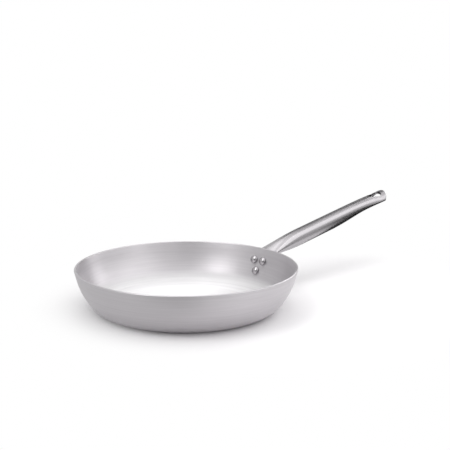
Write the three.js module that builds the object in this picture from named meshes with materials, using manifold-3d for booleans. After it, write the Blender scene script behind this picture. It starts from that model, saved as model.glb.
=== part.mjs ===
// Frying pan: a pressed aluminium pan with a formed steel tube handle, held on by three rivets.
// Millimetres, +Z up. The origin is the middle of the base's underside. The handle runs along +X.
import * as THREE from "three";
import { mergeVertices } from "three/addons/utils/BufferGeometryUtils.js";
import Module from "manifold-3d";

const wasm = await Module();
wasm.setup();

const { clamp, degToRad, lerp, smoothstep } = THREE.MathUtils;

// Pan body
const rimRadius = 140;
const panHeight = 55;
const sheetThickness = 3;
const wallLean = degToRad(14.5); // straight upper wall, from vertical
const bellyRadius = 86; // large outer arc below the straight wall
const cornerLean = degToRad(38); // wall lean where the belly meets the corner
const cornerRadius = 33; // outer arc between the belly and the flat base
const lipRadius = 1.2; // rounding of the lip's two edges
const bodySegments = 72;
const bellySteps = 5;
const cornerSteps = 5;
const lipSteps = 2;

// Handle tube: distances along the straight part start at the bend
const tubeDiameter = 23;
const tubeWall = 1.2;
const handleRise = degToRad(9.7); // slope of the straight part, from horizontal
const handleLength = 269; // straight part, from the bend to the tip
const bendRadius = 5; // middle of the pressed sheet, where the tongue turns into the handle
const roundStart = 75; // where the tube, opening from the bend on, is fully round
const roundEnd = 138; // where the underside starts to be pressed up into the top
const channelStart = 252; // where the underside lies in the top
const ovalThickness = 6; // pressed thinner than this, the tube turns from oval to flat-sided
const tipHollow = 1; // left between the top and the underside pressed into it
const tipCrownRadius = 16; // outside of the tip's top, across the handle
const lipShare = 0.15; // part of the channel's underside that rounds each lip
const sectionPoints = 40;
const endSteps = 6;
const bendSteps = 5;
const openingSteps = 10;
const roundSteps = 3;

// Hanging hole in the tip
const holeLength = 26;
const holeWidth = 18;
const holeNarrowWidth = 12; // at the end towards the pan
const holeFromTip = 9;

// Rivets: drops are measured down the outside of the wall from the lip
const upperRivetDrop = 18;
const lowerRivetDrop = 32.7;
const upperRivetSpacing = 15.7;
const shankRadius = 2.5;
const headRadius = 5.5;
const headHeight = 3.8;
const tailRadius = 4.2;
const tailHeight = 2;
const rivetSegments = 18;
const domeSteps = 4;

// Fits
const seatGap = 0.3; // tongue to wall
const headGap = 0.45; // rivet head to the hollow side of the wall
const tailGap = 0.3; // rivet tail to tongue
const shankClearance = 0.3;
const tongueBelowRivet = 8; // lower rivet's centre to the tongue's rounded end
const tongueAboveRivet = 5.5; // upper rivets' centres to the bend
const smallestBore = 0.8; // thinnest hollow kept inside the tube

// Sizes that follow
const tongueThickness = 2 * tubeWall;
const tipThickness = tongueThickness + tipHollow;
const tubeRadius = tubeDiameter / 2;
const wall = wallShape();
const tongueTop = upperRivetDrop - tongueAboveRivet;
const bendStart = wallAt(tongueTop).angle;
const bendEnd = handleRise - Math.PI / 2;
const bendLength = bendRadius * (bendStart - bendEnd);

// Materials
const aluminium = new THREE.MeshStandardMaterial({ color: 0xc4c6c8, roughness: 0.4, metalness: 1 });
const steel = new THREE.MeshStandardMaterial({ color: 0xc9cacb, roughness: 0.25, metalness: 1 });
const polishedSteel = new THREE.MeshStandardMaterial({ color: 0xd6d7d8, roughness: 0.12, metalness: 1 });

// A unit vector in the plane of a profile
function direction(angle) {
  return new THREE.Vector2(Math.cos(angle), Math.sin(angle));
}

// A point at a distance and an angle from a centre
function polar(centre, radius, angle) {
  return direction(angle).multiplyScalar(radius).add(centre);
}

// Points on an arc in a profile, both ends included
function arc(centre, radius, from, to, steps) {
  return Array.from({ length: steps + 1 }, (_, i) => polar(centre, radius, lerp(from, to, i / steps)));
}

// Straight length and arc centres of the outer wall, as (radius, height)
function wallShape() {
  const bellyHeight = cornerRadius + (bellyRadius - cornerRadius) * Math.sin(cornerLean);
  const straightDrop = panHeight - bellyHeight + bellyRadius * Math.sin(wallLean);
  const straightLength = straightDrop / Math.cos(wallLean);
  const footRadius = rimRadius - straightDrop * Math.tan(wallLean);
  const straightFoot = new THREE.Vector2(footRadius, panHeight - straightDrop);
  const bellyCentre = polar(straightFoot, -bellyRadius, -wallLean);
  const cornerCentre = polar(bellyCentre, bellyRadius - cornerRadius, -cornerLean);
  return { straightLength, bellyCentre, cornerCentre };
}

// Place and outward angle on the outside of the wall, a distance down from the lip
function wallAt(drop) {
  if (drop <= wall.straightLength) {
    const down = new THREE.Vector2(-Math.sin(wallLean), -Math.cos(wallLean)).multiplyScalar(drop);
    return { point: down.add(new THREE.Vector2(rimRadius, panHeight)), angle: -wallLean };
  }
  const angle = -wallLean - (drop - wall.straightLength) / bellyRadius;
  return { point: polar(wall.bellyCentre, bellyRadius, angle), angle };
}

// Corner and belly of the wall, moved inward by a depth, from the base up
function wallArcs(depth) {
  const corner = arc(wall.cornerCentre, cornerRadius - depth, -Math.PI / 2, -cornerLean, cornerSteps);
  const belly = arc(wall.bellyCentre, bellyRadius - depth, -cornerLean, -wallLean, bellySteps);
  return [...corner, ...belly.slice(1)];
}

// The lip's two rounded edges, from the outside to the inside
function lipArcs() {
  const height = panHeight - lipRadius;
  const outerRadius = rimRadius - lipRadius * Math.tan(wallLean);
  const inset = lipRadius / Math.cos(wallLean);
  const outer = new THREE.Vector2(outerRadius - inset, height);
  const inner = new THREE.Vector2(outerRadius - sheetThickness / Math.cos(wallLean) + inset, height);
  return [
    ...arc(outer, lipRadius, -wallLean, Math.PI / 2, lipSteps),
    ...arc(inner, lipRadius, Math.PI / 2, Math.PI - wallLean, lipSteps),
  ];
}

// A closed solid from a geometry
function solidOf(geometry) {
  const bare = geometry.clone();
  bare.deleteAttribute("normal");
  bare.deleteAttribute("uv");
  const merged = mergeVertices(bare, 1e-4);
  return new wasm.Manifold(new wasm.Mesh({
    numProp: 3,
    vertProperties: new Float32Array(merged.attributes.position.array),
    triVerts: new Uint32Array(merged.index.array),
  }));
}

// A named mesh from a solid
function meshOf(name, solid, material) {
  const { vertProperties, triVerts } = solid.getMesh();
  const geometry = new THREE.BufferGeometry();
  geometry.setAttribute("position", new THREE.BufferAttribute(new Float32Array(vertProperties), 3));
  geometry.setIndex(new THREE.BufferAttribute(new Uint32Array(triVerts), 1));
  geometry.computeVertexNormals();
  const mesh = new THREE.Mesh(geometry, material);
  mesh.name = name;
  return mesh;
}

// The pan as one turned sheet, without its rivet holes
function panSolid() {
  const profile = [
    new THREE.Vector2(0, 0),
    ...wallArcs(0),
    ...lipArcs(),
    ...wallArcs(sheetThickness).reverse(),
    new THREE.Vector2(0, sheetThickness),
  ];
  const geometry = new THREE.LatheGeometry(profile, bodySegments);
  geometry.rotateX(Math.PI / 2);
  return solidOf(geometry);
}

// Where each rivet goes through the wall: its drop from the lip and its angle round the pan
function rivetPlaces() {
  const turn = upperRivetSpacing / 2 / wallAt(upperRivetDrop).point.x;
  return [
    { name: "rivet_upper_left", drop: upperRivetDrop, turn },
    { name: "rivet_upper_right", drop: upperRivetDrop, turn: -turn },
    { name: "rivet_lower", drop: lowerRivetDrop, turn: 0 },
  ];
}

// Moves a shape built along +Y onto the wall, so that +Y points out of the wall
function ontoWall(geometry, place) {
  const { point, angle } = wallAt(place.drop);
  geometry.rotateX(Math.PI / 2);
  geometry.rotateY(Math.PI / 2 - angle);
  geometry.translate(point.x, 0, point.y);
  geometry.rotateZ(place.turn);
  return geometry;
}

// The bore a rivet needs through the wall and the tongue
function rivetBore(place) {
  const radius = shankRadius + shankClearance;
  const length = 4 * (sheetThickness + tongueThickness);
  return solidOf(ontoWall(new THREE.CylinderGeometry(radius, radius, length, rivetSegments), place));
}

// A quarter of a dome's outline: from its top on the axis to its edge, or back for a turned-over dome
function dome(radius, height, seat, sign) {
  return Array.from({ length: domeSteps + 1 }, (_, i) => {
    const angle = (Math.PI / 2) * (i / domeSteps);
    return new THREE.Vector2(radius * Math.sin(angle), seat + sign * height * Math.cos(angle));
  });
}

// A rivet: domed head inside the pan, shank through the wall and the tongue, pressed tail outside
function rivetSolid(place) {
  const headSeat = -sheetThickness - headGap;
  const tailSeat = seatGap + tongueThickness + tailGap;
  const profile = [
    ...dome(headRadius, headHeight, headSeat, -1),
    new THREE.Vector2(shankRadius, headSeat),
    new THREE.Vector2(shankRadius, tailSeat),
    ...dome(tailRadius, tailHeight, tailSeat, 1).reverse(),
  ];
  return solidOf(ontoWall(new THREE.LatheGeometry(profile, rivetSegments), place));
}

// Width of the tube once it is pressed to a thickness: its perimeter hardly changes
function flattenedWidth(thickness) {
  return Math.PI * (tubeRadius - thickness / 2) + thickness;
}

// Section of the tube along the handle, with how far its underside is pressed up into its top
function tubeShape(distance) {
  const closed = clamp((roundStart - distance) / (roundStart + bendLength), 0, 1);
  const thickness = lerp(tubeDiameter, tongueThickness, closed ** 2);
  return {
    distance,
    thickness,
    width: flattenedWidth(thickness),
    oval: smoothstep(thickness, tongueThickness, ovalThickness),
    pressed: clamp((distance - roundEnd) / (channelStart - roundEnd), 0, 1) ** 2,
  };
}

// Angles round a half-round end, from near its tip to near its full width
function endTurns() {
  return Array.from({ length: endSteps }, (_, i) => (Math.PI / 2) * ((i + 1) / (endSteps + 1)));
}

// Sections of the tongue, from its rounded end up the wall to the bend
function tongueStations() {
  const flat = { ...tubeShape(-bendLength), reach: Math.PI / 2, wrap: 1 };
  const bottom = lowerRivetDrop + tongueBelowRivet;
  const full = bottom - flat.width / 2;
  const station = (drop, share) => {
    const { point, angle } = wallAt(drop);
    const centre = polar(point, seatGap + tongueThickness / 2, angle);
    return { ...flat, centre, angle, width: flat.width * share };
  };
  const rounded = endTurns().map((turn) => station(lerp(bottom, full, 1 - Math.cos(turn)), Math.sin(turn)));
  return [...rounded, station(full, 1), station((full + tongueTop) / 2, 1), station(tongueTop, 1)];
}

// Sections of the bend, from the tongue's top to the start of the straight part
function bendStations(start) {
  const centre = polar(start.centre, bendRadius, bendStart);
  return Array.from({ length: bendSteps }, (_, i) => {
    const angle = lerp(bendStart, bendEnd, (i + 1) / bendSteps);
    const shape = tubeShape(bendRadius * (bendEnd - angle));
    return { ...start, ...shape, centre: polar(centre, -bendRadius, angle), angle };
  });
}

// Distances along the straight part where it has a section, with how far the section reaches from its top
function straightSteps() {
  const reach = Math.PI / 2;
  const body = (from, to, steps) =>
    Array.from({ length: steps }, (_, i) => ({ distance: lerp(from, to, (i + 1) / steps), reach }));
  const full = handleLength - tubeRadius;
  const tip = endTurns().reverse();
  return [
    ...body(0, roundStart, openingSteps),
    ...body(roundStart, roundEnd, roundSteps),
    ...body(roundEnd, full, openingSteps),
    ...tip.map((turn) => ({ distance: lerp(handleLength, full, 1 - Math.cos(turn)), reach: turn })),
  ];
}

// Sections of the straight part, from the bend to the rounded tip
function straightStations(start) {
  return straightSteps().map(({ distance, reach }) => ({
    ...tubeShape(distance),
    reach,
    centre: polar(start.centre, distance, handleRise),
    angle: start.angle,
    wrap: 1 - smoothstep(distance, 0, roundStart / 2),
  }));
}

// A point on a flattened tube's outline, at a fraction of the way round it
function stadiumPoint(width, thickness, fraction) {
  if (fraction >= 0.5) {
    return stadiumPoint(width, thickness, fraction - 0.5).negate();
  }
  const radius = thickness / 2;
  const flat = Math.max(width - thickness, 0);
  const quarter = (Math.PI / 2) * radius;
  const distance = fraction * 2 * (flat + 2 * quarter);
  if (distance < quarter) {
    return polar(new THREE.Vector2(flat / 2, 0), radius, distance / radius);
  }
  if (distance <= quarter + flat) {
    return new THREE.Vector2(flat / 2 + quarter - distance, radius);
  }
  return polar(new THREE.Vector2(-flat / 2, 0), radius, (distance - flat) / radius);
}

// A point on the tube's outline once its underside lies in its top: lip, underside, lip, top
function channelPoint(radius, thickness, reach, fraction) {
  const axis = new THREE.Vector2();
  const first = 1.5 * Math.PI + reach;
  const last = 1.5 * Math.PI - reach;
  if (fraction >= 0.5) {
    return polar(axis, radius, lerp(last, first, 2 * fraction - 1));
  }
  const share = 2 * fraction;
  const middle = radius - thickness / 2;
  if (share < lipShare) {
    return polar(polar(axis, middle, first), thickness / 2, first + (Math.PI * share) / lipShare);
  }
  if (share > 1 - lipShare) {
    const turn = last + Math.PI * (1 + (share - 1 + lipShare) / lipShare);
    return polar(polar(axis, middle, last), thickness / 2, turn);
  }
  return polar(axis, radius - thickness, lerp(first, last, (share - lipShare) / (1 - 2 * lipShare)));
}

// A point on a section's outline: flat-sided where pressed thin, then oval, round, and a channel at the tip
function sectionPoint({ width, thickness, oval, pressed, reach }, fraction) {
  const turn = 2 * Math.PI * fraction;
  const onOval = new THREE.Vector2((width / 2) * Math.cos(turn), (thickness / 2) * Math.sin(turn));
  const inset = tubeRadius - width / 2;
  const crown = lerp(tubeRadius, tipCrownRadius, pressed);
  const spread = tubeRadius / crown;
  const onChannel = channelPoint(crown - inset, tipThickness - 2 * inset, reach * spread, fraction);
  onChannel.y += crown * Math.cos((Math.PI / 2) * spread);
  return stadiumPoint(width, thickness, fraction).lerp(onOval, oval).lerp(onChannel, pressed);
}

// A section's outline in space: across the handle it is straight, or wrapped round the pan's axis
function sectionOutline(station) {
  return Array.from({ length: sectionPoints }, (_, i) => {
    const outline = sectionPoint(station, i / sectionPoints);
    const { x: radius, y: height } = polar(station.centre, outline.y, station.angle);
    const turn = outline.x / station.centre.x;
    const straight = new THREE.Vector3(radius, outline.x, height);
    const wrapped = new THREE.Vector3(radius * Math.cos(turn), radius * Math.sin(turn), height);
    return straight.lerp(wrapped, station.wrap);
  });
}

// A closed skin over a row of sections
function loft(stations) {
  const outlines = stations.map(sectionOutline);
  const count = sectionPoints;
  const last = outlines.length - 1;
  const middle = (outline) =>
    outline.reduce((sum, point) => sum.add(point), new THREE.Vector3()).divideScalar(count);
  const points = [...outlines.flat(), middle(outlines[0]), middle(outlines[last])];
  const firstMiddle = outlines.length * count;
  const triangles = [];
  for (let j = 0; j < count; j += 1) {
    const next = (j + 1) % count;
    for (let i = 0; i < last; i += 1) {
      const here = i * count;
      const there = here + count;
      triangles.push(here + j, there + j, here + next, here + next, there + j, there + next);
    }
    triangles.push(firstMiddle, j, next);
    triangles.push(firstMiddle + 1, last * count + next, last * count + j);
  }
  const geometry = new THREE.BufferGeometry().setFromPoints(points);
  geometry.setIndex(triangles);
  return solidOf(geometry);
}

// The tube's hollow: the same sections, one wall thickness in, where the sheet is not pressed together
function boreStations(stations) {
  return stations
    .filter(({ thickness }) => thickness >= tongueThickness + smallestBore)
    .filter(({ distance }) => distance <= handleLength - 2 * tubeWall)
    .map((station) => ({
      ...station,
      width: station.width - tongueThickness,
      thickness: station.thickness - tongueThickness,
    }));
}

// The hanging hole's cutter: wide end towards the tip, narrow end towards the pan
function hangingHole(start) {
  const wide = holeWidth / 2;
  const narrow = holeNarrowWidth / 2;
  const wideCentre = handleLength - holeFromTip - wide;
  const narrowCentre = handleLength - holeFromTip - holeLength + narrow;
  const tangent = Math.acos((narrow - wide) / (wideCentre - narrowCentre));
  const shape = new THREE.Shape();
  shape.absarc(wideCentre, 0, wide, -tangent, tangent, false);
  shape.absarc(narrowCentre, 0, narrow, tangent, 2 * Math.PI - tangent, false);
  const depth = 4 * tubeDiameter;
  const geometry = new THREE.ExtrudeGeometry(shape, { depth, bevelEnabled: false, curveSegments: 8 });
  geometry.translate(0, 0, -depth / 2);
  geometry.rotateY(-handleRise);
  geometry.translate(start.centre.x, 0, start.centre.y);
  return solidOf(geometry);
}

// The handle as one formed tube: tongue, bend, grip and pressed tip, without its rivet holes
function handleSolid() {
  const tongue = tongueStations();
  const bend = bendStations(tongue.at(-1));
  const start = bend.at(-1);
  const straight = straightStations(start);
  const skin = loft([...tongue, ...bend, ...straight]);
  const bore = loft(boreStations([...bend, ...straight]));
  return skin.subtract(bore).subtract(hangingHole(start));
}

// The whole pan
function fryingPan() {
  const places = rivetPlaces();
  const bores = places.map(rivetBore);
  const drilled = (solid) => bores.reduce((left, bore) => left.subtract(bore), solid);
  const group = new THREE.Group();
  group.name = "frying_pan";
  group.add(meshOf("pan_body", drilled(panSolid()), aluminium));
  group.add(meshOf("handle", drilled(handleSolid()), steel));
  for (const place of places) {
    group.add(meshOf(place.name, rivetSolid(place), polishedSteel));
  }
  return group;
}

export default fryingPan();
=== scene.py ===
import math

import bpy
from mathutils import Matrix, Vector


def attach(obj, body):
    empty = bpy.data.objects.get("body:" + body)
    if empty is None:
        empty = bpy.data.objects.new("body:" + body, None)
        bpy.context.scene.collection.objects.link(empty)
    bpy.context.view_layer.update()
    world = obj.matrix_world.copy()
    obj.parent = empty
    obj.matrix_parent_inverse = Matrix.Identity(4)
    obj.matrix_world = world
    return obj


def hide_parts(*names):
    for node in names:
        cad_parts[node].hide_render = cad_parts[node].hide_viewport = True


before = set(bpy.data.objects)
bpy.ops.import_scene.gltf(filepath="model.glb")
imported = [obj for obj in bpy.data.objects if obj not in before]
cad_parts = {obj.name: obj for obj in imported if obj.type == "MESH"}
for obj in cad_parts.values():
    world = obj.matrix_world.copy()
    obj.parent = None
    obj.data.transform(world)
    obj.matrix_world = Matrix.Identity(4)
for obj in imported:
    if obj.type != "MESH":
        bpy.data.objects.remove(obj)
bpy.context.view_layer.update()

MM = 0.001

# Pan body, in millimetres
RIM_RADIUS = 140
PAN_HEIGHT = 55
SHEET = 3
WALL_LEAN = math.radians(14.5)  # straight upper wall, from vertical
BELLY_RADIUS = 86  # large outer arc below the straight wall
CORNER_LEAN = math.radians(38)  # wall lean where the belly meets the corner
CORNER_RADIUS = 33  # outer arc between the belly and the flat base
LIP_RADIUS = 1.2

# Handle tube, in millimetres: distances along the straight part start at the bend
TUBE_DIAMETER = 23
TUBE_WALL = 1.2
TONGUE_THICKNESS = 2 * TUBE_WALL
OVAL_THICKNESS = 6  # pressed thinner than this, the tube turns from oval to flat-sided
SMALLEST_BORE = 0.8  # thinnest hollow kept inside the tube
HANDLE_RISE = math.radians(9.7)
HANDLE_LENGTH = 269  # straight part, from the bend to the tip
BEND_RADIUS = 5
FIRST_SECTION = 2  # first section past the bend
ROUND_START = 75  # where the tube, opening from the bend on, is fully round
UNWRAP_END = ROUND_START / 2  # from here on, the sections no longer follow the pan's round
ROUND_END = 138  # where the underside starts to be pressed up into the top
CHANNEL_START = 252  # where the underside lies in the top
TIP_HOLLOW = 1  # left between the top and the underside pressed into it
TIP_THICKNESS = TONGUE_THICKNESS + TIP_HOLLOW
TIP_CROWN_RADIUS = 16  # outside of the tip's top, across the handle
LIP_SHARE = 0.15  # part of the channel's underside that rounds each lip

# Hanging hole, in millimetres
HOLE_LENGTH = 26
HOLE_WIDTH = 18
HOLE_NARROW_WIDTH = 12  # at the end towards the pan
HOLE_FROM_TIP = 9
HOLE_CUTTER_REACH = 40

# Rivets, in millimetres: drops are measured down the outside of the wall from the lip
UPPER_DROP = 18
LOWER_DROP = 32.7
UPPER_SPACING = 15.7
SHANK_RADIUS = 2.5
HEAD_RADIUS = 5.5
HEAD_HEIGHT = 3.8
TAIL_RADIUS = 4.2
TAIL_HEIGHT = 2
SEAT_GAP = 0.3  # tongue to wall
HEAD_GAP = 0.45  # rivet head to the hollow side of the wall
TAIL_GAP = 0.3  # rivet tail to tongue
SHANK_CLEARANCE = 0.3
TONGUE_BELOW_RIVET = 8  # lower rivet's centre to the tongue's rounded end
TONGUE_ABOVE_RIVET = 5.5  # upper rivets' centres to the bend
RIVET_CUTTER_REACH = 10

# How finely the shapes are divided
PAN_SEGMENTS = 288
WALL_ARC_STEPS = 24
LIP_ARC_STEPS = 8
RIVET_SEGMENTS = 64
DOME_STEPS = 14
RIVET_HOLE_STEPS = 32
SECTION_POINTS = 96
TONGUE_END_STEPS = 20
TONGUE_STEPS = 8
BEND_STEPS = 12
STRAIGHT_STEPS = 120
TIP_STEPS = 24
HOLE_WIDE_STEPS = 40
HOLE_NARROW_STEPS = 30
MERGE_DISTANCE = 1e-7
SHARP_EDGE = math.radians(35)

# Metals: the grain takes the colour and the roughness from one value to the other
PAN_LOOK = dict(dark=(0.58, 0.56, 0.58), light=(0.65, 0.63, 0.65), roughness=(0.42, 0.47),
                dulled=0.03, bump=0.05, lines=400, patches=22)
HANDLE_LOOK = dict(dark=(0.41, 0.396, 0.41), light=(0.48, 0.463, 0.48), roughness=(0.19, 0.24),
                   dulled=0.03, bump=0.02, lines=500, patches=45)
RIVET_LOOK = dict(dark=(0.44, 0.425, 0.44), light=(0.5, 0.481, 0.5), roughness=(0.09, 0.12),
                  dulled=0.04, bump=0.02, lines=900, patches=200)
GRAIN_NOISE = {"Detail": 5, "Roughness": 0.7}
GRAIN_SPREAD = (0.3, 0.7)
GRAIN_HEIGHT = 0.0001  # metres
MARKS_NOISE = {"Detail": 3, "Distortion": 0.6}
MARKS_SPREAD = (0.4, 0.7)
LATHE_GLOSS = {"Anisotropic": 0.7, "Anisotropic Rotation": 0.25}
LATHE_DRIFT = 0.03  # keeps the turned lines from being perfect rings
DRAWN_SQUEEZE = 0.02  # share of the place that is left along the handle

# The pan's floor: heights in metres between which its matt finish and painted light turn into the wall's
# finish
PAN_FLOOR_EDGE = (0.009, 0.021)
PAN_FLOOR_MATT = 0.35
# Painted light: the floor's colour is multiplied by this to stand in for the overhead light it catches
PAN_FLOOR_PAINTED_LIGHT = (1.46, 1.5, 1.46)

# Camera, with its place in metres
CAMERA_PLACE = Vector((-0.8482, -0.9128, 0.3706))
CAMERA_AIM = Vector((0.6932, 0.6904, -0.2070))
LENS_MM = 81.99
SENSOR_MM = 36

# Studio directions, as the camera sees them: away from it, to its right, and up
BACK = Vector((0.7085, 0.7057, 0))
RIGHT = Vector((0.7057, -0.7085, 0))
UP = Vector((0, 0, 1))

# World: where the light on matt surfaces comes from, and the white that the metal reflects
FRONT_LIGHT = RIGHT * 0.25 - BACK * 0.45 + UP * 0.8
METAL_WHITE = 0.75

# Studio floor, in millimetres, and in metres the distances between which it fades to plain white
FLOOR_CORNERS = [(-4000, -4000), (6000, -4000), (6000, 6000), (-4000, 6000)]
FLOOR_DROP = 0.05
FLOOR_COLOUR = (0.95, 0.94, 0.95)
FLOOR_FADE_CENTRE = RIGHT * 0.1 + BACK * 0.07
FLOOR_FADE = (0.2, 0.32)

# Softboxes: direction from the pan as (back, right, up), distance and size in metres, level
SOFTBOXES = {
    "key softbox": ((0.54, -0.12, 0.83), 1.6, 0.9, 0.7),
    "ceiling softbox": ((0.1, 0.05, 1), 1.6, 1.7, 0.75),
    "front left softbox": ((-0.35, -0.45, 0.82), 1.6, 0.75, 2.7),
    "front right softbox": ((-0.35, 0.62, 0.7), 1.6, 0.9, 0.6),
    "right softbox": ((0.12, 0.74, 0.66), 1.6, 0.9, 1),
    "low right softbox": ((0.66, 0.62, 0.43), 1.8, 0.75, 3.2),
    "low front softbox": ((-0.5, 0.85, 0.2), 1.8, 0.8, 0.5),
}

# Cards seen only in the metal: grey level, and corners in metres back, right and up
FLAGS = {
    "lying_flag": (0.02, [
        (0.225, 0.15, 0.002), (0.225, 0.75, 0.002), (1, 0.75, 0.002), (1, 0.15, 0.002)]),
    "upright_flag": (0.02, [
        (0.195, 0.75, 0), (1, 0.75, 0), (1, 0.75, 0.17), (0.195, 0.75, 0.17)]),
    "front_flag": (0.5, [
        (-0.2, -0.16, 0.002), (-0.2, 0.06, 0.002), (-0.8, 0.06, 0.002), (-0.8, -0.16, 0.002)]),
    "camera_flag": (0.25, [
        (-0.8, -0.7, 0.12), (-0.8, 0.15, 0.12), (-0.8, 0.15, 0.5), (-0.8, -0.7, 0.5)]),
    "back_flag": (0.3, [
        (0.5, 0.08, 0.05), (0.5, 0.36, 0.05), (0.5, 0.36, 0.42), (0.5, 0.08, 0.42)]),
}


# Shape helpers

def polar(centre, radius, angle):
    return (centre[0] + radius * math.cos(angle), centre[1] + radius * math.sin(angle))


def lerp(a, b, share):
    return a + (b - a) * share


def smoothstep(value, start, end):
    share = min(max((value - start) / (end - start), 0), 1)
    return share * share * (3 - 2 * share)


def arc(centre, radius, start, end, steps):
    return [polar(centre, radius, lerp(start, end, i / steps)) for i in range(steps + 1)]


def wall_shape():
    """Straight length and arc centres of the outer wall, as (radius, height)."""
    belly_height = CORNER_RADIUS + (BELLY_RADIUS - CORNER_RADIUS) * math.sin(CORNER_LEAN)
    drop = PAN_HEIGHT - belly_height + BELLY_RADIUS * math.sin(WALL_LEAN)
    foot = (RIM_RADIUS - drop * math.tan(WALL_LEAN), PAN_HEIGHT - drop)
    belly = polar(foot, -BELLY_RADIUS, -WALL_LEAN)
    corner = polar(belly, BELLY_RADIUS - CORNER_RADIUS, -CORNER_LEAN)
    return drop / math.cos(WALL_LEAN), belly, corner


STRAIGHT_LENGTH, BELLY_CENTRE, CORNER_CENTRE = wall_shape()
BEND_START = -WALL_LEAN
BEND_END = HANDLE_RISE - math.pi / 2
BEND_LENGTH = BEND_RADIUS * (BEND_START - BEND_END)


def wall_at(drop):
    """Place and outward angle on the outside of the wall, a distance down from the lip."""
    if drop <= STRAIGHT_LENGTH:
        place = (RIM_RADIUS - drop * math.sin(WALL_LEAN), PAN_HEIGHT - drop * math.cos(WALL_LEAN))
        return place, -WALL_LEAN
    angle = -WALL_LEAN - (drop - STRAIGHT_LENGTH) / BELLY_RADIUS
    return polar(BELLY_CENTRE, BELLY_RADIUS, angle), angle


# Pan and rivet outlines, as (radius, height) from the axis and back to it

def wall_arcs(depth):
    """The wall's two arcs, moved inward by a depth, from the base up."""
    corner = arc(CORNER_CENTRE, CORNER_RADIUS - depth, -math.pi / 2, -CORNER_LEAN, WALL_ARC_STEPS)
    belly = arc(BELLY_CENTRE, BELLY_RADIUS - depth, -CORNER_LEAN, -WALL_LEAN, WALL_ARC_STEPS)
    return corner + belly[1:]


def lip_arcs():
    """The lip's two rounded edges, from the outside to the inside."""
    height = PAN_HEIGHT - LIP_RADIUS
    outer_radius = RIM_RADIUS - LIP_RADIUS * math.tan(WALL_LEAN)
    inset = LIP_RADIUS / math.cos(WALL_LEAN)
    outer = (outer_radius - inset, height)
    inner = (outer_radius - SHEET / math.cos(WALL_LEAN) + inset, height)
    outside = arc(outer, LIP_RADIUS, -WALL_LEAN, math.pi / 2, LIP_ARC_STEPS)
    return outside + arc(inner, LIP_RADIUS, math.pi / 2, math.pi - WALL_LEAN, LIP_ARC_STEPS)


def pan_profile():
    inside = wall_arcs(SHEET)[::-1]
    return [(0, 0)] + wall_arcs(0) + lip_arcs() + inside + [(0, SHEET)]


def dome(radius, height, seat, sign):
    """A quarter of a dome's outline, from its top on the axis to its edge."""
    angles = [math.pi / 2 * i / DOME_STEPS for i in range(DOME_STEPS + 1)]
    return [(radius * math.sin(a), seat + sign * height * math.cos(a)) for a in angles]


def rivet_profile():
    head_seat = -SHEET - HEAD_GAP
    tail_seat = SEAT_GAP + TONGUE_THICKNESS + TAIL_GAP
    shank = [(SHANK_RADIUS, head_seat), (SHANK_RADIUS, tail_seat)]
    tail = dome(TAIL_RADIUS, TAIL_HEIGHT, tail_seat, 1)[::-1]
    return dome(HEAD_RADIUS, HEAD_HEIGHT, head_seat, -1) + shank + tail


def rivet_places():
    """Each rivet's drop from the lip and its angle round the pan."""
    turn = UPPER_SPACING / 2 / wall_at(UPPER_DROP)[0][0]
    return {
        "rivet_upper_left": (UPPER_DROP, turn),
        "rivet_upper_right": (UPPER_DROP, -turn),
        "rivet_lower": (LOWER_DROP, 0),
    }


def onto_wall(drop, turn):
    """Matrix that takes a shape built along +Z onto the wall, with +Z pointing out of it."""
    (radius, height), angle = wall_at(drop)
    tilt = Matrix.Rotation(math.pi / 2 - angle, 4, "Y")
    shift = Matrix.Translation(Vector((radius, 0, height)) * MM)
    return Matrix.Rotation(turn, 4, "Z") @ shift @ tilt


# Object helpers

def new_object(name, data):
    made = bpy.data.objects.new(name, data)
    bpy.context.scene.collection.objects.link(made)
    return made


def mesh_from(name, points, edges, faces):
    """A mesh from points in millimetres."""
    mesh = bpy.data.meshes.new(name)
    mesh.from_pydata([Vector(p) * MM for p in points], edges, faces)
    mesh.update()
    return mesh


def baked(piece):
    """Replaces a piece's mesh with the result of its modifiers, smooth between its sharp edges."""
    graph = bpy.context.evaluated_depsgraph_get()
    mesh = bpy.data.meshes.new_from_object(piece.evaluated_get(graph), depsgraph=graph)
    piece.modifiers.clear()
    piece.data = mesh
    mesh.shade_smooth()
    mesh.set_sharp_from_angle(angle=SHARP_EDGE)


def cut(piece, cutter):
    modifier = piece.modifiers.new("cut " + cutter.name, "BOOLEAN")
    modifier.operation = "DIFFERENCE"
    modifier.solver = "EXACT"
    modifier.object = cutter


# Node helpers, for geometry and shader trees

def add_sockets(group, inputs, output, kind):
    """Gives a group its named inputs and its one output."""
    for name, input_kind in inputs.items():
        group.interface.new_socket(name, in_out="INPUT", socket_type=input_kind)
    group.interface.new_socket(output, in_out="OUTPUT", socket_type=kind)


def feed(tree, socket, value):
    """Links an output to a socket, or sets a plain value on it."""
    if isinstance(value, bpy.types.NodeSocket):
        tree.links.new(value, socket)
    else:
        socket.default_value = value


def operation_node(tree, kind, operation, values):
    node = tree.nodes.new(kind)
    node.operation = operation
    for socket, value in zip(node.inputs, values):
        feed(tree, socket, value)
    return node


def maths(tree, operation, *values):
    return operation_node(tree, "ShaderNodeMath", operation, values).outputs["Value"]


def vector_maths(tree, operation, *values):
    return operation_node(tree, "ShaderNodeVectorMath", operation, values).outputs["Vector"]


def vector_measure(tree, operation, *values):
    return operation_node(tree, "ShaderNodeVectorMath", operation, values).outputs["Value"]


def turned_about_z(tree, vector, angle):
    node = tree.nodes.new("ShaderNodeVectorRotate")
    node.rotation_type = "Z_AXIS"
    feed(tree, node.inputs["Vector"], vector)
    feed(tree, node.inputs["Angle"], angle)
    return node.outputs["Vector"]


# Turned pieces

def geometry_node(tree, kind, geometry):
    node = tree.nodes.new(kind)
    tree.links.new(geometry, node.inputs["Geometry"])
    return node


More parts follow.
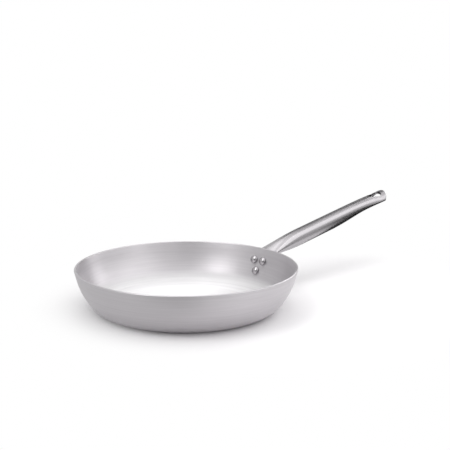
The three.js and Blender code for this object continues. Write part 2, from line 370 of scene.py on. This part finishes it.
def turned_place(tree, outline, count, segments):
    """Where a point of the grid goes: a row is a point of the outline, a column is a turn."""
    index = tree.nodes.new("GeometryNodeInputIndex").outputs["Index"]
    row = maths(tree, "MODULO", index, count)
    column = maths(tree, "FLOOR", maths(tree, "DIVIDE", index, count))
    sample = geometry_node(tree, "GeometryNodeSampleIndex", outline)
    sample.data_type = "FLOAT_VECTOR"
    place = tree.nodes.new("GeometryNodeInputPosition").outputs["Position"]
    tree.links.new(place, sample.inputs["Value"])
    tree.links.new(row, sample.inputs["Index"])
    turn = maths(tree, "MULTIPLY", maths(tree, "DIVIDE", column, segments), 2 * math.pi)
    return turned_about_z(tree, sample.outputs["Value"], turn)


def turning_tree():
    """Turns an outline of points in the XZ plane into a closed piece about Z."""
    tree = bpy.data.node_groups.new("turned piece", "GeometryNodeTree")
    kinds = {"Outline": "NodeSocketGeometry", "Segments": "NodeSocketInt",
             "Material": "NodeSocketMaterial"}
    add_sockets(tree, kinds, "Geometry", "NodeSocketGeometry")
    inputs = tree.nodes.new("NodeGroupInput").outputs
    outline, segments = inputs["Outline"], inputs["Segments"]
    link = tree.links.new
    count = geometry_node(tree, "GeometryNodeAttributeDomainSize", outline).outputs["Point Count"]
    grid = tree.nodes.new("GeometryNodeMeshGrid")
    link(maths(tree, "ADD", segments, 1), grid.inputs["Vertices X"])
    link(count, grid.inputs["Vertices Y"])
    place = geometry_node(tree, "GeometryNodeSetPosition", grid.outputs["Mesh"])
    link(turned_place(tree, outline, count, segments), place.inputs["Position"])
    merge = geometry_node(tree, "GeometryNodeMergeByDistance", place.outputs["Geometry"])
    merge.inputs["Distance"].default_value = MERGE_DISTANCE
    real = geometry_node(tree, "GeometryNodeRealizeInstances", merge.outputs["Geometry"])
    paint = geometry_node(tree, "GeometryNodeSetMaterial", real.outputs["Geometry"])
    link(inputs["Material"], paint.inputs["Material"])
    link(paint.outputs["Geometry"], tree.nodes.new("NodeGroupOutput").inputs["Geometry"])
    return tree


def turned(name, profile, segments, material, tree):
    """A piece turned from an outline, not yet baked."""
    points = [(radius, 0, height) for radius, height in profile]
    edges = [(i, i + 1) for i in range(len(points) - 1)]
    piece = new_object(name, mesh_from(name + " outline", points, edges, []))
    modifier = piece.modifiers.new("turn", "NODES")
    modifier.node_group = tree
    sockets = {s.name: s.identifier for s in tree.interface.items_tree if s.in_out == "INPUT"}
    modifier[sockets["Segments"]] = segments
    modifier[sockets["Material"]] = material
    return piece


# Handle sections

def flattened_width(thickness):
    """Width of the tube once it is pressed to a thickness: its perimeter hardly changes."""
    return (math.pi * TUBE_DIAMETER - math.pi * thickness) / 2 + thickness


def tube_shape(distance):
    """Width and thickness along the handle, and how far its underside is pressed up."""
    if distance < ROUND_START:
        closed = (ROUND_START - distance) / (ROUND_START + BEND_LENGTH)
        thickness = lerp(TUBE_DIAMETER, TONGUE_THICKNESS, closed ** 2)
        return flattened_width(thickness), thickness, 0
    pressed = min(max((distance - ROUND_END) / (CHANNEL_START - ROUND_END), 0), 1) ** 2
    return TUBE_DIAMETER, TUBE_DIAMETER, pressed


def oval_share(thickness):
    return smoothstep(thickness, TONGUE_THICKNESS, OVAL_THICKNESS)


def end_turns(steps):
    """Angles round a half-round end, from its tip to its full width."""
    return [math.pi / 2 * (i + 1) / steps for i in range(steps)]


def tongue_steps(width):
    """Drops down the wall where the tongue has a section, with each one's share of its width."""
    bottom = LOWER_DROP + TONGUE_BELOW_RIVET
    top = UPPER_DROP - TONGUE_ABOVE_RIVET
    half = width / 2
    turns = end_turns(TONGUE_END_STEPS)
    rounded = [(bottom - half * (1 - math.cos(turn)), math.sin(turn)) for turn in turns]
    shares = [(i + 1) / TONGUE_STEPS for i in range(TONGUE_STEPS)]
    return rounded + [(lerp(bottom - half, top, share), 1) for share in shares]


def tongue_stations():
    """Sections of the tongue, from its rounded end up the wall to the bend."""
    width = flattened_width(TONGUE_THICKNESS)
    flat = dict(thickness=TONGUE_THICKNESS, oval=0, pressed=0, reach=math.pi / 2, wrap=1)
    stations = []
    for drop, share in tongue_steps(width):
        place, angle = wall_at(drop)
        centre = polar(place, SEAT_GAP + TONGUE_THICKNESS / 2, angle)
        stations.append(dict(flat, centre=centre, angle=angle, width=width * share))
    return stations


def bend_stations(start):
    """Sections of the bend, from the tongue's top to the start of the straight part."""
    centre = polar(start["centre"], BEND_RADIUS, start["angle"])
    stations = []
    for i in range(BEND_STEPS):
        angle = lerp(BEND_START, BEND_END, (i + 1) / BEND_STEPS)
        width, thickness, _ = tube_shape(BEND_RADIUS * (BEND_END - angle))
        stations.append(dict(start, centre=polar(centre, -BEND_RADIUS, angle), angle=angle,
                             width=width, thickness=thickness, oval=oval_share(thickness)))
    return stations


def straight_steps():
    """Distances along the straight part, with how far the section reaches round from its top."""
    radius = TUBE_DIAMETER / 2
    body_end = HANDLE_LENGTH - radius
    shares = [i / STRAIGHT_STEPS for i in range(STRAIGHT_STEPS)]
    steps = [(lerp(FIRST_SECTION, body_end, share), math.pi / 2) for share in shares]
    turns = end_turns(TIP_STEPS)
    tip = [(HANDLE_LENGTH - radius * (1 - math.cos(turn)), turn) for turn in turns]
    return steps + tip[::-1]


def straight_stations(start):
    """Sections of the straight part, from the bend to the rounded tip."""
    stations = []
    for distance, reach in straight_steps():
        width, thickness, pressed = tube_shape(distance)
        stations.append(dict(
            centre=polar(start["centre"], distance, HANDLE_RISE), angle=start["angle"],
            width=width, thickness=thickness, pressed=pressed, reach=reach, distance=distance,
            oval=oval_share(thickness), wrap=1 - smoothstep(distance, 0, UNWRAP_END)))
    return stations


def stadium_point(width, thickness, fraction):
    """A point on a flattened tube's outline, at a fraction of the way round it."""
    if fraction >= 0.5:
        across, out = stadium_point(width, thickness, fraction - 0.5)
        return -across, -out
    radius = thickness / 2
    flat = max(width - thickness, 0)
    quarter = math.pi / 2 * radius
    distance = fraction * 2 * (flat + 2 * quarter)
    if distance < quarter:
        return polar((flat / 2, 0), radius, distance / radius)
    if distance <= quarter + flat:
        return flat / 2 + quarter - distance, radius
    return polar((-flat / 2, 0), radius, (distance - flat) / radius)


def channel_point(radius, thickness, reach, fraction):
    """A point on the tube's outline once its underside lies in its top: lip, inside, lip, top."""
    top = 1.5 * math.pi
    first, last = top + reach, top - reach
    if fraction >= 0.5:
        return polar((0, 0), radius, lerp(last, first, 2 * fraction - 1))
    share = 2 * fraction
    middle = radius - thickness / 2
    if share < LIP_SHARE:
        turn = first + math.pi * share / LIP_SHARE
        return polar(polar((0, 0), middle, first), thickness / 2, turn)
    if share > 1 - LIP_SHARE:
        turn = last + math.pi * (1 + (share - 1 + LIP_SHARE) / LIP_SHARE)
        return polar(polar((0, 0), middle, last), thickness / 2, turn)
    inside = (share - LIP_SHARE) / (1 - 2 * LIP_SHARE)
    return polar((0, 0), radius - thickness, lerp(first, last, inside))


def section_point(station, fraction):
    """Flat-sided where the tube is pressed thin, oval to round, then a channel at the tip."""
    width, thickness = station["width"], station["thickness"]
    flat = Vector(stadium_point(width, thickness, fraction))
    turn = 2 * math.pi * fraction
    oval = Vector((width / 2 * math.cos(turn), thickness / 2 * math.sin(turn)))
    point = flat.lerp(oval, station["oval"])
    if station["pressed"] == 0:
        return point
    inset = (TUBE_DIAMETER - width) / 2
    crown = lerp(TUBE_DIAMETER / 2, TIP_CROWN_RADIUS, station["pressed"])
    spread = TUBE_DIAMETER / 2 / crown
    reach = station["reach"] * spread
    channel = Vector(channel_point(crown - inset, TIP_THICKNESS - 2 * inset, reach, fraction))
    channel.y += crown * math.cos(math.pi / 2 * spread)
    return point.lerp(channel, station["pressed"])


def section_outline(station):
    """A section in space: straight across the handle, or wrapped round the pan's axis."""
    points = []
    for i in range(SECTION_POINTS):
        across, out = section_point(station, i / SECTION_POINTS)
        radius, height = polar(station["centre"], out, station["angle"])
        turn = across / station["centre"][0]
        wrapped = Vector((radius * math.cos(turn), radius * math.sin(turn), height))
        points.append(Vector((radius, across, height)).lerp(wrapped, station["wrap"]))
    return points


def loft(name, stations):
    """A closed skin over a row of sections."""
    outlines = [section_outline(station) for station in stations]
    count = SECTION_POINTS
    last = (len(outlines) - 1) * count
    faces = [tuple(range(count)), tuple(reversed(range(last, last + count)))]
    for start in range(0, last, count):
        for j in range(count):
            here, after = start + j, start + (j + 1) % count
            faces.append((here, here + count, after + count, after))
    points = [point for outline in outlines for point in outline]
    return new_object(name, mesh_from(name, points, [], faces))


def bore_stations(stations):
    """The same sections one wall thickness in, where the sheet is not pressed together."""
    kept = [s for s in stations if s["thickness"] >= TONGUE_THICKNESS + SMALLEST_BORE]
    kept = [s for s in kept if s["distance"] <= HANDLE_LENGTH - 2 * TUBE_WALL]
    inset = 2 * TUBE_WALL
    return [dict(s, width=s["width"] - inset, thickness=s["thickness"] - inset) for s in kept]


# Holes

def prism(name, outline, reach):
    """A closed upright prism over an outline in the XY plane, as far below it as above."""
    count = len(outline)
    points = [(x, y, z) for z in (-reach, reach) for x, y in outline]
    faces = [tuple(reversed(range(count))), tuple(range(count, 2 * count))]
    for i in range(count):
        after = (i + 1) % count
        faces.append((i, after, after + count, i + count))
    return new_object(name, mesh_from(name, points, [], faces))


def hole_outline():
    """The hanging hole: wide end towards the tip, narrow end towards the pan."""
    wide, narrow = HOLE_WIDTH / 2, HOLE_NARROW_WIDTH / 2
    wide_centre = HANDLE_LENGTH - HOLE_FROM_TIP - wide
    narrow_centre = HANDLE_LENGTH - HOLE_FROM_TIP - HOLE_LENGTH + narrow
    tangent = math.acos((narrow - wide) / (wide_centre - narrow_centre))
    outline = arc((wide_centre, 0), wide, -tangent, tangent, HOLE_WIDE_STEPS)
    rest = 2 * math.pi - tangent
    return outline + arc((narrow_centre, 0), narrow, tangent, rest, HOLE_NARROW_STEPS)


def hanging_hole_cutter(start):
    cutter = prism("hanging hole cutter", hole_outline(), HOLE_CUTTER_REACH)
    shift = Matrix.Translation(Vector((start["centre"][0], 0, start["centre"][1])) * MM)
    cutter.matrix_world = shift @ Matrix.Rotation(-HANDLE_RISE, 4, "Y")
    return cutter


def rivet_cutters():
    cutters = []
    circle = arc((0, 0), SHANK_RADIUS + SHANK_CLEARANCE, 0, 2 * math.pi, RIVET_HOLE_STEPS)[:-1]
    for name, place in rivet_places().items():
        cutter = prism(name + " cutter", circle, RIVET_CUTTER_REACH)
        cutter.matrix_world = onto_wall(*place)
        cutters.append(cutter)
    return cutters


# Pieces

def make_pan(material, tree, cutters):
    pan = turned("pan_shell", pan_profile(), PAN_SEGMENTS, material, tree)
    for cutter in cutters:
        cut(pan, cutter)
    baked(pan)
    return pan


def make_handle(material, cutters):
    tongue = tongue_stations()
    bend = bend_stations(tongue[-1])
    straight = straight_stations(bend[-1])
    handle = loft("handle_tube", tongue + bend + straight)
    bore = loft("handle bore cutter", bore_stations(straight))
    hole = hanging_hole_cutter(bend[-1])
    for cutter in [bore, hole] + cutters:
        cut(handle, cutter)
    handle.data.materials.append(material)
    baked(handle)
    for cutter in (bore, hole):
        bpy.data.objects.remove(cutter)
    return handle


def make_rivets(material, tree):
    rivets = {}
    for name, place in rivet_places().items():
        rivet = turned(name + "_turned", rivet_profile(), RIVET_SEGMENTS, material, tree)
        baked(rivet)
        rivet.data.transform(onto_wall(*place))
        rivets[name] = rivet
    return rivets


# Material helpers

def object_place(tree):
    return tree.nodes.new("ShaderNodeTexCoord").outputs["Object"]


def parts_of(tree, vector):
    """A vector's X, Y and Z outputs."""
    split = tree.nodes.new("ShaderNodeSeparateXYZ")
    tree.links.new(vector, split.inputs["Vector"])
    return split.outputs


def ranged(tree, value, span=(0, 1), target=(0, 1), smooth=False):
    """Takes a range of numbers to another range, and holds at its ends."""
    node = tree.nodes.new("ShaderNodeMapRange")
    node.interpolation_type = "SMOOTHSTEP" if smooth else "LINEAR"
    names = ("From Min", "From Max", "To Min", "To Max")
    for name, limit in zip(names, (*span, *target)):
        node.inputs[name].default_value = limit
    tree.links.new(value, node.inputs["Value"])
    return node.outputs["Result"]


def tinted(tree, share, low, high):
    """Takes a 0 to 1 output to a range of colours."""
    node = tree.nodes.new("ShaderNodeMix")
    node.data_type = "RGBA"
    node.inputs["A"].default_value = (*low, 1)
    node.inputs["B"].default_value = (*high, 1)
    tree.links.new(share, node.inputs["Factor"])
    return node.outputs["Result"]


def shader_group(name, inputs, output):
    """A shader group with its named sockets, and the nodes at its two ends."""
    group = bpy.data.node_groups.new(name, "ShaderNodeTree")
    add_sockets(group, inputs, output, "NodeSocketFloat")
    return group, group.nodes.new("NodeGroupInput"), group.nodes.new("NodeGroupOutput")


def noise(tree, place, scale, settings):
    node = tree.nodes.new("ShaderNodeTexNoise")
    for name, value in settings.items():
        node.inputs[name].default_value = value
    tree.links.new(place, node.inputs["Vector"])
    tree.links.new(scale, node.inputs["Scale"])
    return node.outputs["Fac"]


def fine_grain():
    """Fine noise, drawn out into lines along any direction in which the place hardly changes."""
    inputs = {"Place": "NodeSocketVector", "Lines per Metre": "NodeSocketFloat"}
    group, start, end = shader_group("fine grain", inputs, "Grain")
    place, scale = start.outputs["Place"], start.outputs["Lines per Metre"]
    grain = ranged(group, noise(group, place, scale, GRAIN_NOISE), span=GRAIN_SPREAD)
    group.links.new(grain, end.inputs["Grain"])
    return group


def handling_marks():
    """Soft patches left by wiping and handling."""
    inputs = {"Patches per Metre": "NodeSocketFloat"}
    group, start, end = shader_group("handling marks", inputs, "Marks")
    patches = noise(group, object_place(group), start.outputs["Patches per Metre"], MARKS_NOISE)
    group.links.new(ranged(group, patches, span=MARKS_SPREAD, smooth=True), end.inputs["Marks"])
    return group


def placed(tree, group, values):
    """A group in a material, with its inputs linked or set."""
    node = tree.nodes.new("ShaderNodeGroup")
    node.node_tree = group
    for name, value in values.items():
        feed(tree, node.inputs[name], value)
    return node


# Metals

def bare_metal(name):
    material = bpy.data.materials.new(name)
    material.use_nodes = True
    shader = material.node_tree.nodes["Principled BSDF"]
    shader.inputs["Metallic"].default_value = 1
    return material, material.node_tree, shader


def finish_metal(tree, shader, place, groups, look):
    """Grain and marks change the colour and the gloss a little, and the grain stands up a little."""
    values = {"Place": place, "Lines per Metre": look["lines"]}
    grain = placed(tree, groups["grain"], values).outputs["Grain"]
    marks = placed(tree, groups["marks"], {"Patches per Metre": look["patches"]}).outputs["Marks"]
    roughness = ranged(tree, grain, target=look["roughness"])
    dulled = ranged(tree, marks, target=(0, look["dulled"]))
    bump = tree.nodes.new("ShaderNodeBump")
    bump.inputs["Strength"].default_value = look["bump"]
    bump.inputs["Distance"].default_value = GRAIN_HEIGHT
    link = tree.links.new
    link(grain, bump.inputs["Height"])
    link(bump.outputs["Normal"], shader.inputs["Normal"])
    link(maths(tree, "ADD", roughness, dulled), shader.inputs["Roughness"])
    link(tinted(tree, grain, look["dark"], look["light"]), shader.inputs["Base Color"])


def lathe_place(tree):
    """Distance from the axis and height, with a slight drift, so that the lines run round the pan."""
    place = object_place(tree)
    parts = parts_of(tree, place)
    radius = vector_measure(tree, "LENGTH", vector_maths(tree, "MULTIPLY", place, (1, 1, 0)))
    drift = maths(tree, "MULTIPLY", parts["X"], LATHE_DRIFT)
    joined = tree.nodes.new("ShaderNodeCombineXYZ")
    for socket, value in zip(joined.inputs, (radius, parts["Z"], drift)):
        tree.links.new(value, socket)
    return joined.outputs["Vector"]


def drawn_place(tree):
    """Place squeezed along the handle, so that the lines run its length."""
    level = tree.nodes.new("ShaderNodeVectorRotate")
    level.rotation_type = "Y_AXIS"
    level.inputs["Angle"].default_value = HANDLE_RISE
    tree.links.new(object_place(tree), level.inputs["Vector"])
    return vector_maths(tree, "MULTIPLY", level.outputs["Vector"], (DRAWN_SQUEEZE, 1, 1))


def pan_floor_share(tree):
    """1 on the pan's floor and 0 up its wall and outside, by height and by which way it faces; it masks
    the matt finish and the painted light.
    """
    height = parts_of(tree, object_place(tree))["Z"]
    low = ranged(tree, height, span=PAN_FLOOR_EDGE, target=(1, 0), smooth=True)
    normal = tree.nodes.new("ShaderNodeNewGeometry").outputs["Normal"]
    facing_up = maths(tree, "GREATER_THAN", parts_of(tree, normal)["Z"], 0)
    return maths(tree, "MULTIPLY", low, facing_up)


def matt_pan_floor_and_painted_light(tree, shader):
    """Makes the pan's floor more matt than the finish that is already linked, and paints light on it:
    its colour is multiplied up to stand in for the overhead light that falls on it.
    """
    share = pan_floor_share(tree)
    colour, roughness = shader.inputs["Base Color"], shader.inputs["Roughness"]
    painted_light = tinted(tree, share, (1, 1, 1), PAN_FLOOR_PAINTED_LIGHT)
    matt = ranged(tree, share, target=(0, PAN_FLOOR_MATT))
    link = tree.links.new
    # Painted light: the colour is brightened on the up-facing floor
    link(vector_maths(tree, "MULTIPLY", colour.links[0].from_socket, painted_light), colour)
    link(maths(tree, "ADD", roughness.links[0].from_socket, matt), roughness)


def turned_aluminium(groups):
    material, tree, shader = bare_metal("turned aluminium")
    for name, value in LATHE_GLOSS.items():
        shader.inputs[name].default_value = value
    finish_metal(tree, shader, lathe_place(tree), groups, PAN_LOOK)
    # Matt floor, with painted light in its colour
    matt_pan_floor_and_painted_light(tree, shader)
    return material


def drawn_steel(groups):
    material, tree, shader = bare_metal("drawn steel")
    finish_metal(tree, shader, drawn_place(tree), groups, HANDLE_LOOK)
    return material


def polished_steel(groups):
    material, tree, shader = bare_metal("polished steel")
    finish_metal(tree, shader, object_place(tree), groups, RIVET_LOOK)
    return material


# Studio

def plain(name, colour):
    material = bpy.data.materials.new(name)
    material.use_nodes = True
    shader = material.node_tree.nodes["Principled BSDF"]
    shader.inputs["Base Color"].default_value = (*colour, 1)
    shader.inputs["Roughness"].default_value = 1
    shader.inputs["Specular IOR Level"].default_value = 0
    return material


def studio_place(back, right, up):
    return BACK * back + RIGHT * right + UP * up


def seen_white(tree):
    """Strength of white: 1 to the camera and through glass, and the metal's white in reflections."""
    path = tree.nodes.new("ShaderNodeLightPath").outputs
    reflected = maths(tree, "MULTIPLY", path["Is Glossy Ray"], METAL_WHITE)
    seen = maths(tree, "MAXIMUM", reflected, path["Is Camera Ray"])
    return maths(tree, "MAXIMUM", seen, path["Is Transmission Ray"])


def floor_fade(tree):
    """How far the floor is plain white: not near the pan, wholly further out, never to bounced light."""
    away = vector_measure(tree, "DISTANCE", object_place(tree), FLOOR_FADE_CENTRE)
    fade = ranged(tree, away, span=FLOOR_FADE, smooth=True)
    bounced = tree.nodes.new("ShaderNodeLightPath").outputs["Is Diffuse Ray"]
    return maths(tree, "MAXIMUM", maths(tree, "SUBTRACT", fade, bounced), 0)


def floor_material():
    material = plain("white floor", FLOOR_COLOUR)
    tree = material.node_tree
    link = tree.links.new
    white = tree.nodes.new("ShaderNodeEmission")
    link(seen_white(tree), white.inputs["Strength"])
    mix = tree.nodes.new("ShaderNodeMixShader")
    link(floor_fade(tree), mix.inputs["Fac"])
    link(tree.nodes["Principled BSDF"].outputs["BSDF"], mix.inputs[1])
    link(white.outputs["Emission"], mix.inputs[2])
    link(mix.outputs["Shader"], tree.nodes["Material Output"].inputs["Surface"])
    return material


def add_floor():
    mesh = mesh_from("floor", [(x, y, -FLOOR_DROP) for x, y in FLOOR_CORNERS], [], [(0, 1, 2, 3)])
    mesh.materials.append(floor_material())
    new_object("floor", mesh)


def front_light(tree):
    """Light from above and in front, weaker towards the back, and none from low behind the pan."""
    way = tree.nodes.new("ShaderNodeTexCoord").outputs["Generated"]
    return maths(tree, "MAXIMUM", vector_measure(tree, "DOT_PRODUCT", way, FRONT_LIGHT), 0)


def add_world():
    """White to the camera, a softer white in the metal, and front light on matt surfaces."""
    world = bpy.data.worlds.new("studio")
    bpy.context.scene.world = world
    world.use_nodes = True
    tree = world.node_tree
    background = tree.nodes["Background"]
    background.inputs["Color"].default_value = (1, 1, 1, 1)
    on_matt = tree.nodes.new("ShaderNodeLightPath").outputs["Is Diffuse Ray"]
    front = maths(tree, "MULTIPLY", front_light(tree), on_matt)
    tree.links.new(maths(tree, "MAXIMUM", front, seen_white(tree)), background.inputs["Strength"])


def add_flag(name, grey, corners):
    points = [studio_place(*corner) / MM for corner in corners]
    mesh = mesh_from(name, points, [], [(0, 1, 2, 3)])
    mesh.materials.append(plain(name, (grey, grey, grey)))
    flag = new_object(name, mesh)
    flag.visible_camera = False
    flag.visible_diffuse = False
    flag.visible_shadow = False


def add_softbox(name, direction, distance, size, level):
    """A square light that faces the pan, with a surface as bright as its level."""
    toward = studio_place(*direction).normalized()
    light = bpy.data.lights.new(name, "AREA")
    light.size = size
    light.energy = level * math.pi * size ** 2
    lamp = new_object(name, light)
    lamp.location = toward * distance
    lamp.rotation_euler = toward.to_track_quat("Z", "Y").to_euler()


def add_camera():
    data = bpy.data.cameras.new("camera")
    data.lens = LENS_MM
    data.sensor_width = SENSOR_MM
    camera = new_object("camera", data)
    camera.location = CAMERA_PLACE
    camera.rotation_euler = CAMERA_AIM.to_track_quat("-Z", "Y").to_euler()
    bpy.context.scene.camera = camera


def add_studio():
    add_floor()
    add_world()
    for name, (grey, corners) in FLAGS.items():
        add_flag(name, grey, corners)
    for name, (direction, distance, size, level) in SOFTBOXES.items():
        add_softbox(name, direction, distance, size, level)
    add_camera()
    bpy.context.scene.view_settings.view_transform = "Standard"


# The pan, piece by piece

def place_piece(piece, node):
    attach(piece, "root")
    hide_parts(node)


def build():
    groups = {"grain": fine_grain(), "marks": handling_marks()}
    tree = turning_tree()
    cutters = rivet_cutters()
    pan = make_pan(turned_aluminium(groups), tree, cutters)
    handle = make_handle(drawn_steel(groups), cutters)
    rivets = make_rivets(polished_steel(groups), tree)
    for cutter in cutters:
        bpy.data.objects.remove(cutter)
    place_piece(pan, "pan_body")
    place_piece(handle, "handle")
    for name, rivet in rivets.items():
        place_piece(rivet, name)


build()
add_studio()
